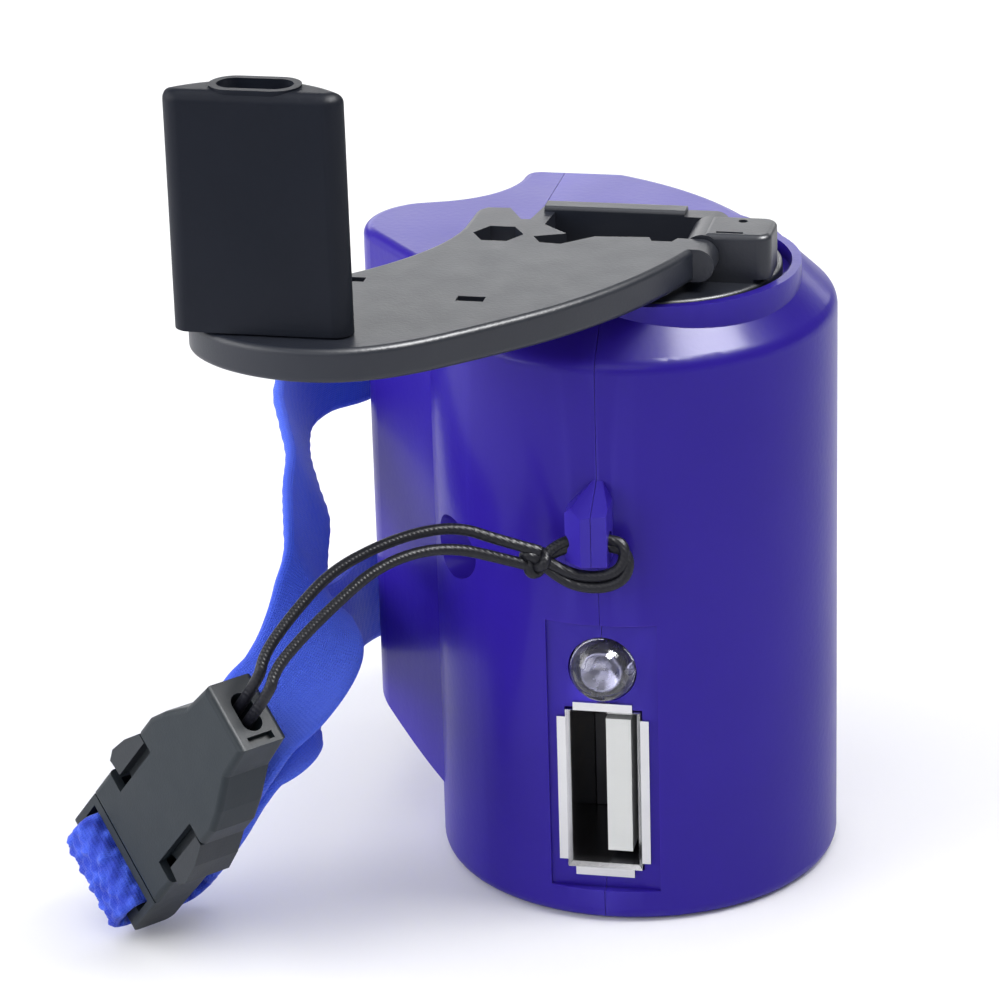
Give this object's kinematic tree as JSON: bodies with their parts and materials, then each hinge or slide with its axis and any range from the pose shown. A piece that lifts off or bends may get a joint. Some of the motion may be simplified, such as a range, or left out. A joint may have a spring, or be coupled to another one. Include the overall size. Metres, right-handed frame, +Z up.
{
  "type": "hand crank phone charger",
  "caption": "Hand crank charger: a round case with a folding crank and spinning grip on top, a socket and lamp in front, gears and a generator inside, and a strap with a clip.",
  "frame": {"origin": "centre of the base, on the axis of the round barrel", "axes": "+Z up along the barrel, -Y out of the front with the socket, +X to the right seen from the front"},
  "size_m": [0.0566, 0.0627, 0.0696],
  "materials": {
    "case_violet": "glossy, slightly translucent",
    "crank_charcoal": "fine satin",
    "buckle_black": "satin",
    "strap_blue": "woven webbing",
    "cord_black": "braided",
    "zinc_steel": "zinc plated",
    "nickel": "bright nickel",
    "white_gear": "satin",
    "white_tongue": "satin",
    "gilt": "plated",
    "brass_bush": "turned",
    "lamp_clear": "clear epoxy",
    "board_green": "solder mask",
    "part_black": "moulded",
    "copper_coil": "wound wire on ferrite",
    "sleeve_dark": "shrink sleeve"
  },
  "bodies": {
    "case": {"case_left": "case_violet", "case_right": "case_violet", "case_screws": "zinc_steel", "crank_bush": "brass_bush", "gear_plate": "white_gear", "generator_can": "zinc_steel", "generator_cap": "part_black", "generator_tabs": "gilt", "generator_screws": "zinc_steel", "axle_b": "zinc_steel", "axle_c": "zinc_steel", "usb_shell": "nickel", "usb_tongue": "white_tongue", "usb_contacts": "gilt", "lamp": "lamp_clear", "lamp_leads": "nickel", "board": "board_green", "board_coil": "copper_coil", "board_capacitor": "sleeve_dark", "board_regulator": "part_black", "board_diodes": "part_black", "board_resistors": "part_black", "buckle_socket": "buckle_black", "buckle_plug": "buckle_black", "strap": "strap_blue", "strap_stitches": "strap_blue", "cord_upper": "cord_black", "cord_lower": "cord_black", "cord_loop": "cord_black", "cord_knot": "cord_black"},
    "crank": {"crank_hub": "crank_charcoal", "crank_gear": "white_gear", "hub_washer": "zinc_steel", "hub_screw": "zinc_steel"},
    "arm": {"crank_arm": "crank_charcoal", "hinge_pin": "zinc_steel", "knob_screw": "zinc_steel"},
    "grip": {"knob": "crank_charcoal"},
    "second_gear": {"gear_b": "white_gear"},
    "third_gear": {"gear_c": "white_gear"},
    "rotor": {"generator_rotor": "zinc_steel", "rotor_pinion": "brass_bush"}
  },
  "joints": [
    {"name": "crank_turn", "type": "hinge", "parent": "case", "child": "crank", "pos_m": [0.0025, -0.002, 0.0482], "axis": [0, 0, 1], "continuous": true},
    {"name": "arm_fold", "type": "hinge", "parent": "crank", "child": "arm", "pos_m": [0.0065, -0.0045, 0.05075], "axis": [0, 1, 0], "range_deg": [0, 180]},
    {"name": "grip_spin", "type": "hinge", "parent": "arm", "child": "grip", "pos_m": [-0.0204, -0.0291, 0.052], "axis": [0, 0, 1], "continuous": true},
    {"name": "second_gear_turn", "type": "hinge", "parent": "case", "child": "second_gear", "pos_m": [-0.0081, 0.00363, 0.0412], "axis": [0, 0, 1], "continuous": true},
    {"name": "third_gear_turn", "type": "hinge", "parent": "case", "child": "third_gear", "pos_m": [0.0024, 0.004, 0.039], "axis": [0, 0, 1], "continuous": true},
    {"name": "rotor_turn", "type": "hinge", "parent": "case", "child": "rotor", "pos_m": [-0.00591, -0.00061, 0.03], "axis": [0, 0, 1], "continuous": true}
  ],
  "couplings": [
    {"joint": "second_gear_turn", "follows": "crank_turn", "ratio": -3.8},
    {"joint": "third_gear_turn", "follows": "crank_turn", "ratio": 12.16},
    {"joint": "rotor_turn", "follows": "crank_turn", "ratio": -34.048}
  ]
}
